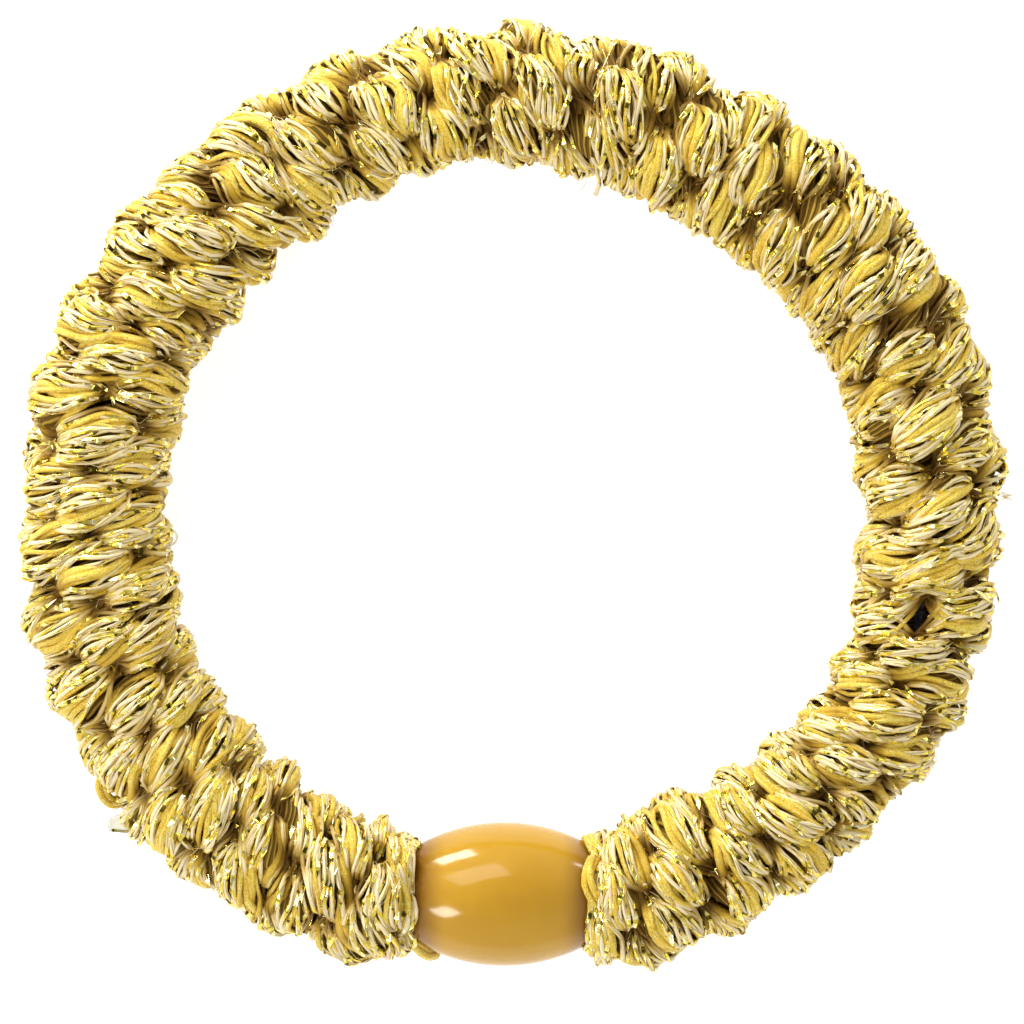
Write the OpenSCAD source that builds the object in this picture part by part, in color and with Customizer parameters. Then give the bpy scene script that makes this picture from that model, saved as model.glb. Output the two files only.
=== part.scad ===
// Hair tie: a gathered yarn cover worked round an elastic, whose ends meet in a barrel bead.
// It lies flat. The ring is in the XY plane, the bead is at the front on -Y, and +Z is up.
// The origin is under the middle of the tie, on the surface that it lies on.
// Ring angles run counterclockwise from +X, so the bead is at -90 and again at 270 degrees.
// Section angles run round the cover from the top: 90 is the outer side, -90 the inner side.

/* [Ring] */
// Mean radius of the ring, to the middle of the cover
ring_r = 27.7; // [24:0.1:34]
// How much wider than round the ring lies from side to side, each way
ring_oval = 0.55; // [0:0.05:1.2]
// Depth of the three slow bulges round the ring
ring_bulge = 0.35; // [0:0.05:0.8]
// Depth of the smaller uneven waves round the ring
ring_wave = 0.16; // [0:0.02:0.3]
// How far the ring's middle lies to the right of the bead's middle
ring_shift = 0.45; // [0:0.05:1]
// How far the bead's axis lies inside the mean radius
bead_inset = 1.65; // [1:0.05:2.4]
// Ring angle over which the cover swings from the bead's axis into the round
shoulder_angle = 13; // [10:0.5:20]

/* [Bead] */
// Length of the bead
bead_len = 12.2; // [10:0.1:12.6]
// Largest diameter of the bead
bead_d = 9.6; // [9.4:0.1:11]
// Radius of the barrel curve along the bead
barrel_r = 11.8; // [11.2:0.1:20]
// Diameter of the bore
bore_d = 4.9; // [4.6:0.1:5.1]
// Rounding of the bead's end edges
lip_r = 0.3; // [0.1:0.05:0.35]

/* [Elastic] */
// Diameter of the elastic
elastic_d = 4.4; // [3.6:0.1:4.4]
// Space between the two ends of the elastic in the middle of the bead
elastic_gap = 0.4; // [0.2:0.1:2]

/* [Cover] */
// Diameter of the cover over its crests
cover_d = 10.5; // [9.8:0.1:11.4]
// Diameter of the hollow for the elastic
hollow_d = 4.9; // [4.8:0.1:5.2]
// Depth of the pits between the bundles of yarn
pit_depth = 1.4; // [0.3:0.05:1.5]
// How much broader the crests are than the pits
crest_breadth = 1.5; // [1:0.1:2.5]
// Rows of bundles round the cover
rows_around = 8; // [4:2:12]
// Gathers that a bundle climbs in one turn round the cover
bundle_climb = 2; // [0:1:4]
// How much the cover is thicker at its two fullest sides than on average, as a share
fullness = 0.03; // [0:0.005:0.05]
// Ring angle of one of the two fullest sides
fullest_angle = 35; // [0:1:90]
// How far the lowest crests are pressed flat where the tie lies
rest_press = 0.25; // [0:0.05:0.4]
// Gap between the cover's end and the bead
seat_gap = 0.2; // [0.1:0.05:0.4]
// Radius of the cover where it meets the bead, as a share of the full radius
end_share = 0.82; // [0.75:0.01:1]

/* [Hidden] */

crest_r = cover_d / 2;
bead_axis_r = ring_r - bead_inset;
seat_angle = atan((bead_len / 2 + seat_gap) / bead_axis_r);
start_angle = -90 + seat_angle;
end_angle = 270 - seat_angle;

// Gathers between the bead's right end and each ring angle: they lie closest near the bead
ANGLE = 0;
COUNT = 1;
gather_count = [
    [start_angle, 0],
    [-15,  6.75],
    [ 36, 11.75],
    [ 90, 16.75],
    [134, 20.75],
    [175, 24.75],
    [249, 32.75],
    [end_angle, 33.5]
];
// Bundles that stand out or lie back on the outline: gathers before each, side, and how far
AT = 0;
SIDE = 1;
OUT = 2;
uneven_bundles = [
    [ 0.7,  90,  0.4],
    [ 1.3, -90,  0.4],
    [ 7.2, -90,  0.3],
    [14.2,  90, -0.4],
    [16.2,  90, -0.7],
    [16.7,  90,  0.7],
    [17.2,  90, -0.4],
    [21.9, -90,  0.6],
    [22.3,  90, -0.4],
    [24.1, -90,  0.4],
    [28.4,  90, -0.3]
];

gathers = gather_count[len(gather_count) - 1][COUNT];
rings_per_gather = 5;
hollow_rings_per_gather = 1.5;
cover_rings = round(gathers * rings_per_gather);
hollow_rings = round(gathers * hollow_rings_per_gather);
cover_sides = 24;
elastic_sides = 12;
// Gathers from the cover's end to the first crest on top, and over which the end tapers
first_crest = 0.25;
taper_gathers = 0.5;
// Furthest angle from the bead at which its straight axis still counts
straight_reach = 60;
// Small step of the ring angle, to find which way the middle line runs
nudge = 0.05;

function smooth(t) = let (c = max(0, min(1, t))) c * c * (3 - 2 * c);
function mix(a, b, t) = a + (b - a) * t;
function total(values) = values * [for (v = values) 1];

// Radius of the ring's middle line at ring angle a: straight through the bead, then round
function from_bead(a) = min(a + 90, 270 - a);
function round_r(a) = ring_r + ring_shift * cos(a) + ring_oval * cos(2 * a)
    - ring_bulge * sin(3 * a) + ring_wave * (cos(3 * a) - cos(4 * a) + sin(5 * a));
function straight_r(a) = bead_axis_r / cos(min(from_bead(a), straight_reach));
function middle_r(a) = mix(straight_r(a), round_r(a),
    smooth((from_bead(a) - seat_angle) / shoulder_angle));
function middle(a) = middle_r(a) * [cos(a), sin(a), 0];

// Point at radius r and section angle s round the middle line, square to it
function along(a) = let (d = middle(a + nudge) - middle(a - nudge)) d / norm(d);
function section_point(a, s, r) = let (t = along(a))
    middle(a) + r * (sin(s) * [t[1], -t[0], 0] + cos(s) * [0, 0, 1]);

// Ring angle after a count g of gathers
function gather_angle(g) = lookup(g, [for (row = gather_count) [row[COUNT], row[ANGLE]]]);

// The bundles lie like bricks, each row half a gather off the next, on a slope round the cover.
// The share of the pit depth is 0 on a crest and 1 at the bottom of a pit.
function brick(g, s) = cos(360 * (g - first_crest - bundle_climb * s / 360))
    * cos(rows_around * s / 2);
function pit_share(g, s) = pow(max(0, (1 - brick(g, s)) / 2), crest_breadth);
function unevenness(g, s) = total([for (b = uneven_bundles)
    b[OUT] * max(0, 1 - abs(g - b[AT])) * max(0, cos(s - b[SIDE]))]);
function fullness_at(a) = 1 + fullness * cos(2 * (a - fullest_angle));
function taper(g) = mix(end_share, 1, smooth(min(g, gathers - g) / taper_gathers));
function cover_r(g, s) = taper(g) * (crest_r * fullness_at(gather_angle(g))
    - pit_depth * pit_share(g, s) + unevenness(g, s));

// Rings of points along the tie, each with a number of sides
function cover_points() = [
    for (i = [0 : cover_rings], j = [0 : cover_sides - 1])
        let (g = gathers * i / cover_rings, s = j * 360 / cover_sides)
        section_point(gather_angle(g), s, cover_r(g, s))
];
hollow_angles = [for (i = [0 : hollow_rings]) gather_angle(gathers * i / hollow_rings)];
elastic_end = atan(elastic_gap / 2 / bead_axis_r);
elastic_angles = concat([elastic_end - 90], hollow_angles, [270 - elastic_end]);
function tube_points(angles, r, sides) = [
    for (a = angles, j = [0 : sides - 1]) section_point(a, j * 360 / sides, r)
];

// Outward triangles of a tube's wall, whose rings start at the point number first
function wall_faces(first, rings, sides) = [
    for (i = [0 : rings - 1], j = [0 : sides - 1])
        let (a = first + i * sides + j, b = first + i * sides + (j + 1) % sides)
        each [[a, b + sides, b], [a, a + sides, b + sides]]
];
// Triangles that face the tube's start, between its outer and inner ring there
function annulus_faces(outer, inner, sides) = [
    for (j = [0 : sides - 1])
        let (k = (j + 1) % sides)
        each [[outer + j, inner + k, inner + j], [outer + j, outer + k, inner + k]]
];
function flipped(faces) = [for (f = faces) [f[2], f[1], f[0]]];

// The tie is set over the middle of its own outline, and its underside down onto Z 0
cover_all = cover_points();
low = [for (axis = [0, 1]) min([for (p = cover_all) p[axis]])];
high = [for (axis = [0, 1]) max([for (p = cover_all) p[axis]])];
low_y = min(low[1], -bead_axis_r - bead_d / 2);
rest_z = min(rest_press - crest_r, -bead_d / 2);
middle_x = (low[0] + high[0]) / 2;
middle_y = (low_y + high[1]) / 2;
function placed(points) = [
    for (p = points) [p[0] - middle_x, p[1] - middle_y, max(0, p[2] - rest_z)]
];

// Half of the bead's section, on the +Y side of its middle: a barrel curve with a rounded end
module bead_half_section() {
    curve_x = bead_d / 2 - barrel_r;
    lip_y = bead_len / 2 - lip_r;
    lip_x = curve_x + sqrt(pow(barrel_r - lip_r, 2) - pow(lip_y, 2));
    lip_angle = atan(lip_y / (lip_x - curve_x));
    far = 2 * bead_len;
    difference() {
        intersection() {
            translate([curve_x, 0]) circle(r = barrel_r, $fn = 96);
            translate([bore_d / 2, 0]) square([bead_d, bead_len / 2]);
        }
        translate([lip_x, lip_y])
            polygon([[0, 0], far * [cos(lip_angle), sin(lip_angle)], [far, far], [0, far]]);
    }
    translate([lip_x, lip_y]) circle(r = lip_r, $fn = 32);
}

module closure_bead() {
    color("goldenrod")
    translate(placed([[0, -bead_axis_r, 0]])[0])
    rotate([0, 90, 0])
    rotate_extrude($fn = 96) {
        bead_half_section();
        mirror([0, 1]) bead_half_section();
    }
}

module elastic_core() {
    last = (len(elastic_angles) - 1) * elastic_sides;
    color("dimgray")
    polyhedron(
        points = placed(tube_points(elastic_angles, elastic_d / 2, elastic_sides)),
        faces = concat(
            wall_faces(0, len(elastic_angles) - 1, elastic_sides),
            [[for (j = [0 : elastic_sides - 1]) j]],
            [[for (j = [elastic_sides - 1 : -1 : 0]) last + j]]
        )
    );
}

module yarn_cover() {
    hollow = len(cover_all);
    cover_end = cover_rings * cover_sides;
    hollow_end = hollow + hollow_rings * cover_sides;
    color("gold")
    polyhedron(
        points = placed(concat(cover_all, tube_points(hollow_angles, hollow_d / 2, cover_sides))),
        faces = concat(
            wall_faces(0, cover_rings, cover_sides),
            flipped(wall_faces(hollow, hollow_rings, cover_sides)),
            annulus_faces(0, hollow, cover_sides),
            flipped(annulus_faces(cover_end, hollow_end, cover_sides))
        )
    );
}

closure_bead();
elastic_core();
yarn_cover();
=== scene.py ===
import math

import bmesh
import bpy
import numpy as np
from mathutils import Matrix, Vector


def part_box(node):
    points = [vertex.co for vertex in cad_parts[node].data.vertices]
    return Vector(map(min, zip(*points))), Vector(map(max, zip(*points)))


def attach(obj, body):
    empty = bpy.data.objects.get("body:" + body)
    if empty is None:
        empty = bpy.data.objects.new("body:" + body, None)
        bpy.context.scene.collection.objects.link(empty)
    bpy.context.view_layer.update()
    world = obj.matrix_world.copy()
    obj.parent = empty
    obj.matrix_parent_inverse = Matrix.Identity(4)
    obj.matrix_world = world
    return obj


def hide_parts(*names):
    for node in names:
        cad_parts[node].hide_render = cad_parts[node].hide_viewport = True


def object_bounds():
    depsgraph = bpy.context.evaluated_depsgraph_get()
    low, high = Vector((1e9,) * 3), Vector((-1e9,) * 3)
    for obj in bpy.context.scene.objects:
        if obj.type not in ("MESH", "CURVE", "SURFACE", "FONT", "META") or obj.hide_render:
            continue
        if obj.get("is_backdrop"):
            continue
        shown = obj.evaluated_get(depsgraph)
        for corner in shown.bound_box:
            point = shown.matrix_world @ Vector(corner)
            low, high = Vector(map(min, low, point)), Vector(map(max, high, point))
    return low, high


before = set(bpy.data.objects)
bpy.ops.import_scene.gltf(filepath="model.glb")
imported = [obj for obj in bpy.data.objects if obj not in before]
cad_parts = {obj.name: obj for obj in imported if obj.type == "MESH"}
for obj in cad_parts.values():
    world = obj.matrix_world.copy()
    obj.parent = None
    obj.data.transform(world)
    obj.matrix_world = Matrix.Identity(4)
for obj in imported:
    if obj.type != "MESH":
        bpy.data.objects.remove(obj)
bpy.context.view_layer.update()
mm = 0.001

# The elastic: one round cord of rubber threads in a black braided sleeve. It runs right round inside
# the yarn, and both ends sit in the bore of the bead. It shows only at the bottom of one pit.
SLEEVE_BLACK = (0.045, 0.043, 0.048, 1)
# Grey specks painted as glints on the black threads of the sleeve
SLEEVE_GREY_PAINTED_GLINT = (0.42, 0.42, 0.45, 1)
# Which sockets of a Mix node take and give colours
MIX_FIRST = 6
MIX_SECOND = 7
MIX_RESULT = 2


class Reading:
    """A socket of a material, with which sums are written as plain expressions."""

    def __init__(self, tree, socket):
        self.tree = tree
        self.socket = socket

    def maths(self, operation, *others):
        node = self.tree.nodes.new("ShaderNodeMath")
        node.operation = operation
        for place, value in zip(node.inputs, (self, *others)):
            plug(self.tree, place, value)
        return Reading(self.tree, node.outputs[0])

    def __add__(self, other):
        return self.maths("ADD", other)

    def __sub__(self, other):
        return self.maths("SUBTRACT", other)

    def __mul__(self, other):
        return self.maths("MULTIPLY", other)

    def __rsub__(self, other):
        return (self * -1) + other

    __radd__ = __add__
    __rmul__ = __mul__

    def sine(self):
        return self.maths("SINE")

    def cosine(self):
        return self.maths("COSINE")

    def band(self, low, high, to_low=0.0, to_high=1.0):
        """0 below low and 1 above high, smoothly, or between the two other values."""
        return Reading(self.tree, add_node(
            self.tree, "ShaderNodeMapRange", {"interpolation_type": "SMOOTHSTEP"},
            {"Value": self, "From Min": low, "From Max": high, "To Min": to_low, "To Max": to_high},
        ).outputs[0])


def plug(tree, place, value):
    if isinstance(value, Reading):
        tree.links.new(value.socket, place)
    elif hasattr(place, "default_value"):
        place.default_value = value


def add_node(tree, kind, settings=None, values=None):
    node = tree.nodes.new(kind)
    for name, value in (settings or {}).items():
        setattr(node, name, value)
    for name, value in (values or {}).items():
        plug(tree, node.inputs[name], value)
    return node


class Finish:
    """A material under construction: one Principled shader and what feeds it."""

    def __init__(self, name, **sockets):
        self.material = bpy.data.materials.new(name)
        self.material.use_nodes = True
        self.tree = self.material.node_tree
        self.shader = self.tree.nodes["Principled BSDF"]
        for socket, value in sockets.items():
            self.shader.inputs[socket.replace("_", " ")].default_value = value

    def node(self, kind, settings=None, values=None, output=0):
        return Reading(self.tree, add_node(self.tree, kind, settings, values).outputs[output])

    def place(self):
        """Where a point of the piece lies, in metres."""
        return self.node("ShaderNodeTexCoord", output="Object")

    def attribute(self, name):
        return self.node("ShaderNodeAttribute", {"attribute_name": name}, output="Fac")

    def noise(self, place, scale, detail=2.0, roughness=0.5):
        return self.node("ShaderNodeTexNoise", None, {
            "Vector": place, "Scale": scale, "Detail": detail, "Roughness": roughness,
        })

    def vector(self, x, y, z):
        return self.node("ShaderNodeCombineXYZ", None, {"X": x, "Y": y, "Z": z})

    def blend(self, share, first, second):
        mix = add_node(self.tree, "ShaderNodeMix", {"data_type": "RGBA"}, {"Factor": share})
        plug(self.tree, mix.inputs[MIX_FIRST], first)
        plug(self.tree, mix.inputs[MIX_SECOND], second)
        return Reading(self.tree, mix.outputs[MIX_RESULT])

    def vary(self, socket, value):
        plug(self.tree, self.shader.inputs[socket], value)

    def relief(self, height, strength, distance):
        bump = add_node(self.tree, "ShaderNodeBump", None, {
            "Height": height, "Strength": strength, "Distance": distance,
        })
        self.tree.links.new(bump.outputs[0], self.shader.inputs["Normal"])


elastic = Finish("black_elastic", Roughness=0.7, Specular_IOR_Level=0.3)
thread = elastic.noise(elastic.place(), scale=2600, detail=3.0, roughness=0.6)
# Painted glints: grey specks over the black sleeve
elastic.vary("Base Color", elastic.blend(thread.band(0.45, 0.8), SLEEVE_BLACK, SLEEVE_GREY_PAINTED_GLINT))
elastic.relief(thread, strength=0.6, distance=0.1 * mm)
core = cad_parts["elastic_core"]
core.data.materials.clear()
core.data.materials.append(elastic.material)


# The bead: one barrel of glossy amber-gold plastic, moulded with a bore for the elastic and with
# small rounded lips at its ends. The two ends of the elastic are fixed in its bore.
BARREL_R = 11.8 * mm
BORE_D = 4.9 * mm
LIP_R = 0.3 * mm
MOUTH_CHAMFER = 0.15 * mm
LIP_POINTS = 7
BARREL_POINTS = 28
BEAD_SIDES = 128
AMBER = (0.53, 0.297, 0.021, 1)
AMBER_CLOUD = (0.57, 0.325, 0.026, 1)
# Painted shade at the ends, where the yarn laps over the bead
AMBER_PAINTED_SHADE_AT_ENDS = (0.24, 0.095, 0.009, 1)
# Where along from its middle the painted shade at the bead's ends starts and is darkest, as shares of
# the length
DARKENS_AT = 0.30
DARKEST_AT = 0.49
bead_low, bead_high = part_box("closure_bead")
bead_middle = (bead_low + bead_high) / 2
bead_len = bead_high.x - bead_low.x
bead_d = bead_high.z - bead_low.z


def bead_outline():
    """Half of the bead's section, as (distance along, radius), from mouth to mouth of its bore."""
    curve_x = bead_d / 2 - BARREL_R
    lip_y = bead_len / 2 - LIP_R
    lip_x = curve_x + math.sqrt((BARREL_R - LIP_R) ** 2 - lip_y ** 2)
    lip_angle = math.atan2(lip_y, lip_x - curve_x)
    mouth = [(bead_len / 2 - MOUTH_CHAMFER, BORE_D / 2), (bead_len / 2, BORE_D / 2 + MOUTH_CHAMFER)]
    lip = [(lip_y + LIP_R * math.sin(t), lip_x + LIP_R * math.cos(t))
           for t in np.linspace(math.pi / 2, lip_angle, LIP_POINTS)]
    barrel = [(BARREL_R * math.sin(t), curve_x + BARREL_R * math.cos(t))
              for t in np.linspace(lip_angle, -lip_angle, BARREL_POINTS)[1:-1]]
    other_end = [(-along, r) for along, r in reversed(mouth + lip)]
    return mouth + lip + barrel + other_end


def new_piece(name, bm, material, smooth=True):
    mesh = bpy.data.meshes.new(name)
    bm.to_mesh(mesh)
    bm.free()
    return place_piece(name, mesh, material, smooth)


def place_piece(name, mesh, material, smooth=True):
    mesh.materials.clear()
    mesh.materials.append(material)
    mesh.polygons.foreach_set("use_smooth", [smooth] * len(mesh.polygons))
    piece = bpy.data.objects.new(name, mesh)
    bpy.context.scene.collection.objects.link(piece)
    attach(piece, "root")
    return piece


bm = bmesh.new()
outline = [bm.verts.new((bead_middle.x + along, bead_middle.y, bead_middle.z + r))
           for along, r in bead_outline()]
edges = [bm.edges.new(pair) for pair in zip(outline, outline[1:] + outline[:1])]
bmesh.ops.spin(bm, geom=outline + edges, cent=bead_middle, axis=(1, 0, 0), angle=math.tau,
               steps=BEAD_SIDES, use_merge=True)
bmesh.ops.remove_doubles(bm, verts=bm.verts, dist=0.001 * mm)
bmesh.ops.recalc_face_normals(bm, faces=bm.faces)

amber = Finish("amber_plastic", Roughness=0.12, Subsurface_Weight=0.8, Subsurface_Scale=3.0 * mm,
               Subsurface_Radius=(1.0, 0.8, 0.14), IOR=1.42, Specular_Tint=(1, 0.98, 0.94, 1))
place = amber.place()
cloud = amber.noise(place, scale=160)
body = amber.blend(cloud.band(0.3, 0.7), AMBER, AMBER_CLOUD)
along = amber.node("ShaderNodeSeparateXYZ", None, {"Vector": place}, output="X")
from_middle = (along - bead_middle.x).maths("ABSOLUTE")
# Painted shade: the amber darkens towards both ends, where the yarn laps over them
painted_shade_at_ends = from_middle.band(DARKENS_AT * bead_len, DARKEST_AT * bead_len)
amber.vary("Base Color", amber.blend(painted_shade_at_ends, body, AMBER_PAINTED_SHADE_AT_ENDS))
amber.relief(amber.noise(place, scale=420, detail=1.0), strength=0.06, distance=0.2 * mm)
bead = new_piece("bead", bm, amber.material)
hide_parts("closure_bead")


# The inner turns: the layers of yarn nearest the elastic, wound round it under all the others. They
# grip it by their tightness. Only they show, at the bottom of the pits, and their colours are painted
# shade: dim gold turns with brown between them, darker the deeper they lie.

# The ring's middle line, with the sizes that the solid cover has
RING_R = 27.7 * mm
RING_OVAL = 0.55 * mm
RING_BULGE = 0.35 * mm
RING_WAVE = 0.16 * mm
RING_SHIFT = 0.45 * mm
BEAD_INSET = 1.65 * mm
SHOULDER_ANGLE = 13
STRAIGHT_REACH = 60
SEAT_GAP = 0.2 * mm
# Degrees to either side from which the direction of the line is read
NUDGE = 0.05
# The crests and pits over it, also as in the solid
CREST_R = 5.25 * mm
PIT_DEPTH = 1.4 * mm
CREST_BREADTH = 1.5
ROWS_AROUND = 8
BUNDLE_CLIMB = 2
FIRST_CREST = 0.25
FULLNESS = 0.03
FULLEST_ANGLE = 35
bead_axis_r = RING_R - BEAD_INSET
seat_angle = math.degrees(math.atan((bead_len / 2 + SEAT_GAP) / bead_axis_r))
start_angle = -90 + seat_angle
end_angle = 270 - seat_angle
ring_middle = np.array([bead_middle.x, bead_middle.y + bead_axis_r, bead_middle.z])
# Ring angle, and gathers between the bead's right end and it. The outer rows carry on past the ends
GATHER_COUNT = [(start_angle - 9, -1), (start_angle, 0), (-15, 6.75), (36, 11.75), (90, 16.75),
                (134, 20.75), (175, 24.75), (249, 32.75), (end_angle, 33.5), (end_angle + 9, 34.5)]
GATHERS = 33.5
# Length along the cover of one gather, near the bead and the open pit
GATHER_LEN = 4.9 * mm
# Gathers from either end of the cover, and the share of its full radius there: it laps over the bead
END_DOME = [(-0.15, 0.69), (-0.11, 0.71), (0, 0.81), (0.11, 0.90), (0.27, 0.955), (0.5, 1)]
# Bundles that stand out or lie back on the outline: gathers before each, side, and how far in mm
UNEVEN_BUNDLES = [(0.7, 90, 0.4), (1.3, -90, 0.4), (7.2, -90, 0.3), (14.2, 90, -0.4), (16.2, 90, -0.7),
                  (16.7, 90, 0.7), (17.2, 90, -0.4), (21.9, -90, 0.6), (22.3, 90, -0.4),
                  (24.1, -90, 0.4), (28.4, 90, -0.3)]
# Ring angle, and how much fuller the cover is there on its outer and on its inner side, in mm
FULLER_OUTSIDE = [(0, -0.2), (15, 0.35), (30, 0.4), (45, 0.2), (60, 0.25), (75, 0.15), (90, -0.2),
                  (105, -0.1), (135, -0.25), (150, 0.35), (165, 0.35), (180, 0), (195, 0.35),
                  (210, 0.1), (240, 0), (255, -0.25), (270, 0.1), (300, -0.05), (315, -0.5),
                  (330, -0.05), (345, -0.15)]
FULLER_INSIDE = [(0, 0), (15, 0.05), (30, -0.25), (45, 0.2), (60, 0.4), (75, 0.1), (90, -0.1),
                 (105, 0), (120, 0.3), (150, 0.2), (165, 0.35), (180, 0.3), (210, 0.1), (225, 0.35),
                 (240, -0.1), (270, 0), (285, 0.15), (300, 0.45), (315, 0.2), (330, -0.55), (345, -0.35)]
# Single turns that stand out of the outline or lie back in it: gathers before each, and how far in
# mm. Each fades out over TURN_REACH gathers to either side
TURNS_OUTSIDE = [(1.9, 0.45), (3.7, -0.4), (5.3, 0.4), (8.0, -0.45), (9.9, -0.3), (10.4, 0.35),
                 (13.0, -0.3), (14.0, -0.35), (15.45, 0.8), (15.95, -1.1), (16.4, 0.85), (16.9, -0.9),
                 (17.5, 0.5), (17.95, -0.45), (18.3, 0.4), (19.6, 0.45), (20.8, -0.4), (21.8, 0.45),
                 (24.1, 0.4), (25.6, -0.5), (27.1, 0.65), (27.55, -0.55), (28.05, 0.5), (28.5, -0.6),
                 (29.5, -0.4), (30.6, -0.3), (32.1, 0.4)]
TURNS_INSIDE = [(1.4, 0.3), (5.9, -0.5), (7.3, 0.45), (7.9, -0.35), (9.2, 0.5), (9.7, -0.3),
                (10.25, 0.5), (10.75, -0.9), (11.3, 0.7), (11.8, -0.4), (12.3, 0.4), (12.8, -0.3),
                (13.3, 0.6), (13.85, -0.35), (14.3, 0.45), (14.9, -0.55), (20.1, 0.4), (21.4, -0.35),
                (22.0, 0.35), (22.7, -0.45), (23.2, 0.5), (24.6, -0.7), (25.1, 0.4), (26.2, 0.55),
                (26.8, -0.65), (27.7, -0.4), (28.25, 0.5), (28.7, -0.6), (29.2, 0.35), (30.0, 0.4),
                (30.5, -0.4), (31.1, 0.4), (31.55, -0.8)]
TURN_REACH = 0.45
# The open pit, through which the elastic shows: gathers before it, its side, size, floor and slope
HOLE_AT = 6.75
HOLE_SIDE = -3
HOLE_R = 0.92 * mm
HOLE_FLOOR_R = 2.0 * mm
HOLE_SLOPE = 2
# How far the inner turns lie under the crests, how deep their own pits are, and their lowest point
INNER_DEPTH = 0.72 * mm
INNER_RELIEF = 1.67
INNER_REST = 0.3 * mm
# Gathers at either end of the cover that have no inner turns
INNER_MARGIN = 0.12
INNER_SIDES = 64
INNER_RINGS_PER_GATHER = 8
INNER_YARNS_PER_GATHER = 13
# Painted shade: the inner turns are coloured as yarn in shade, with brown between the turns, darker in
# the pits
INNER_SHADED_GOLD = (0.50, 0.31, 0.050, 1)
INNER_GOLD_PAINTED_PIT_SHADE = (0.18, 0.092, 0.012, 1)
INNER_BROWN_PAINTED_SHADE = (0.17, 0.095, 0.013, 1)
INNER_BROWN_PAINTED_PIT_SHADE = (0.05, 0.024, 0.0035, 1)


def smooth(t):
    t = np.clip(t, 0, 1)
    return t * t * (3 - 2 * t)


def cosd(a):
    return np.cos(np.radians(a))


def sind(a):
    return np.sin(np.radians(a))


def unit(v):
    return v / np.linalg.norm(v, axis=-1, keepdims=True)


def read_off(places, at, period=None):
    """The value at a place, between the (place, value) pairs of a list."""
    return np.interp(at, *zip(*places), period=period)


def ring_angle(g):
    """The ring angle after a count g of gathers."""
    return read_off([(count, angle) for angle, count in GATHER_COUNT], g)


def middle(a):
    """The middle line of the cover at ring angle a: straight through the bead, then round."""
    from_bead = np.minimum(a + 90, 270 - a)
    round_r = (RING_R + RING_SHIFT * cosd(a) + RING_OVAL * cosd(2 * a) - RING_BULGE * sind(3 * a)
               + RING_WAVE * (cosd(3 * a) - cosd(4 * a) + sind(5 * a)))
    straight_r = bead_axis_r / cosd(np.minimum(from_bead, STRAIGHT_REACH))
    share = smooth((from_bead - seat_angle) / SHOULDER_ANGLE)
    r = straight_r + (round_r - straight_r) * share
    return np.stack([r * cosd(a), r * sind(a), 0 * a], axis=-1) + ring_middle


def section_point(g, s, r):
    """The point at radius r and section angle s, g gathers along: 0 is the top and 90 outside."""
    a = ring_angle(g)
    d = unit(middle(a + NUDGE) - middle(a - NUDGE))
    outward = np.stack([d[..., 1], -d[..., 0], 0 * a], axis=-1)
    up = np.array([0, 0, 1.0])
    return middle(a) + r[..., None] * (sind(s)[..., None] * outward + cosd(s)[..., None] * up)


def pit_share(g, s):
    """0 on a crest and 1 at the bottom of a pit."""
    brick = cosd(360 * (g - FIRST_CREST - BUNDLE_CLIMB * s / 360)) * cosd(ROWS_AROUND * s / 2)
    return ((1 - brick) / 2) ** CREST_BREADTH


def crest_r(g, s):
    """Radius over the crests, with the fuller sides and the uneven bundles and turns."""
    full = CREST_R * (1 + FULLNESS * cosd(2 * (ring_angle(g) - FULLEST_ANGLE)))
    for at, side, out in UNEVEN_BUNDLES:
        full = full + out * mm * np.clip(1 - abs(g - at), 0, 1) * np.clip(cosd(s - side), 0, 1)
    for side, fuller, turns in ((90, FULLER_OUTSIDE, TURNS_OUTSIDE), (-90, FULLER_INSIDE, TURNS_INSIDE)):
        extra = read_off(fuller, ring_angle(g), 360)
        for at, out in turns:
            extra = extra + out * np.clip(1 - abs(g - at) / TURN_REACH, 0, 1)
        full = full + extra * mm * np.clip(cosd(s - side), 0, 1)
    return full * read_off(END_DOME, np.minimum(g, GATHERS - g))


def from_hole(g, s):
    """Distance from the open pit, along the cover and in all."""
    along = (g - HOLE_AT) * GATHER_LEN
    around = np.radians((s - HOLE_SIDE + 180) % 360 - 180) * CREST_R
    return along, np.hypot(along, around)


def close_and_turn_out(bm, sides):
    """Closes the open ends, of up to so many sides, and points all faces outwards."""
    bmesh.ops.holes_fill(bm, edges=[e for e in bm.edges if e.is_boundary], sides=sides)
    bmesh.ops.recalc_face_normals(bm, faces=bm.faces)


inner = Finish("inner_yarn", Roughness=0.7, Specular_IOR_Level=0.15, Specular_Tint=(1, 0.8, 0.4, 1))
place = inner.place()
tangle = inner.noise(place, scale=1500, detail=3.0, roughness=0.6)
bend = inner.noise(place, scale=420, detail=1.0)
# Stripes of the wound turns, with brown painted shade between them
wound = (inner.attribute("turn") * (math.tau * INNER_YARNS_PER_GATHER) + bend * 10 + tangle).sine()
# Painted shade: the turns darken the deeper they lie under the crests, most at the bottom of the pits
shade = inner.attribute("depth").band(0.8, 1.9)
gold = inner.blend(shade, INNER_SHADED_GOLD, INNER_GOLD_PAINTED_PIT_SHADE)
brown_painted_shade = inner.blend(shade, INNER_BROWN_PAINTED_SHADE, INNER_BROWN_PAINTED_PIT_SHADE)
inner.vary("Base Color", inner.blend(wound.band(-0.2, 0.8), brown_painted_shade, gold))
inner.relief(tangle + wound * 0.6, strength=0.9, distance=0.25 * mm)

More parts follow.
